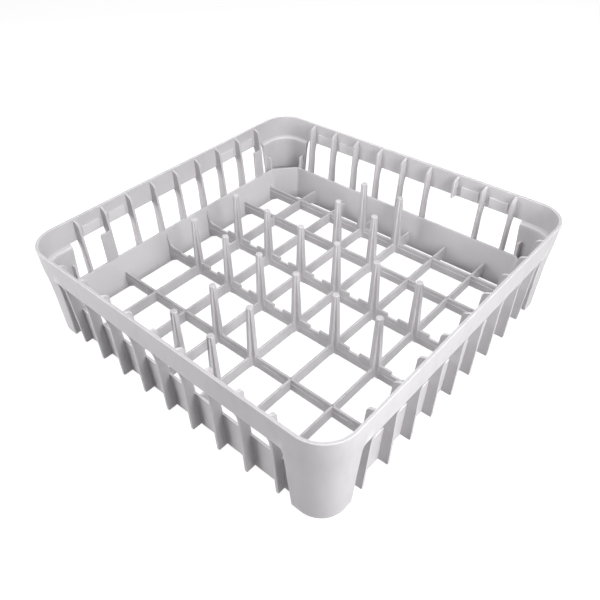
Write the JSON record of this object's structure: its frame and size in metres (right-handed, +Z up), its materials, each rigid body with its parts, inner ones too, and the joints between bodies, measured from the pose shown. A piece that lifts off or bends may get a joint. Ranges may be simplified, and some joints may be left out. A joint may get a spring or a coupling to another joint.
{
  "type": "dishwasher plate basket",
  "caption": "Square plastic dishwasher basket with a finned open rim wall, a grid floor and upright pegs that hold plates on edge.",
  "frame": {"origin": "centre of the foot plane, under the middle of the square floor", "axes": "+Z up, +X and +Y square to the walls; the peg bars run along X and the blades along Y, the wall with the cut-off fin is at +Y and the wall with the two tabs at -X"},
  "size_m": [0.4, 0.4, 0.11],
  "materials": {
    "plastic": "satin"
  },
  "bodies": {
    "root": {"basket": "plastic"}
  },
  "joints": []
}
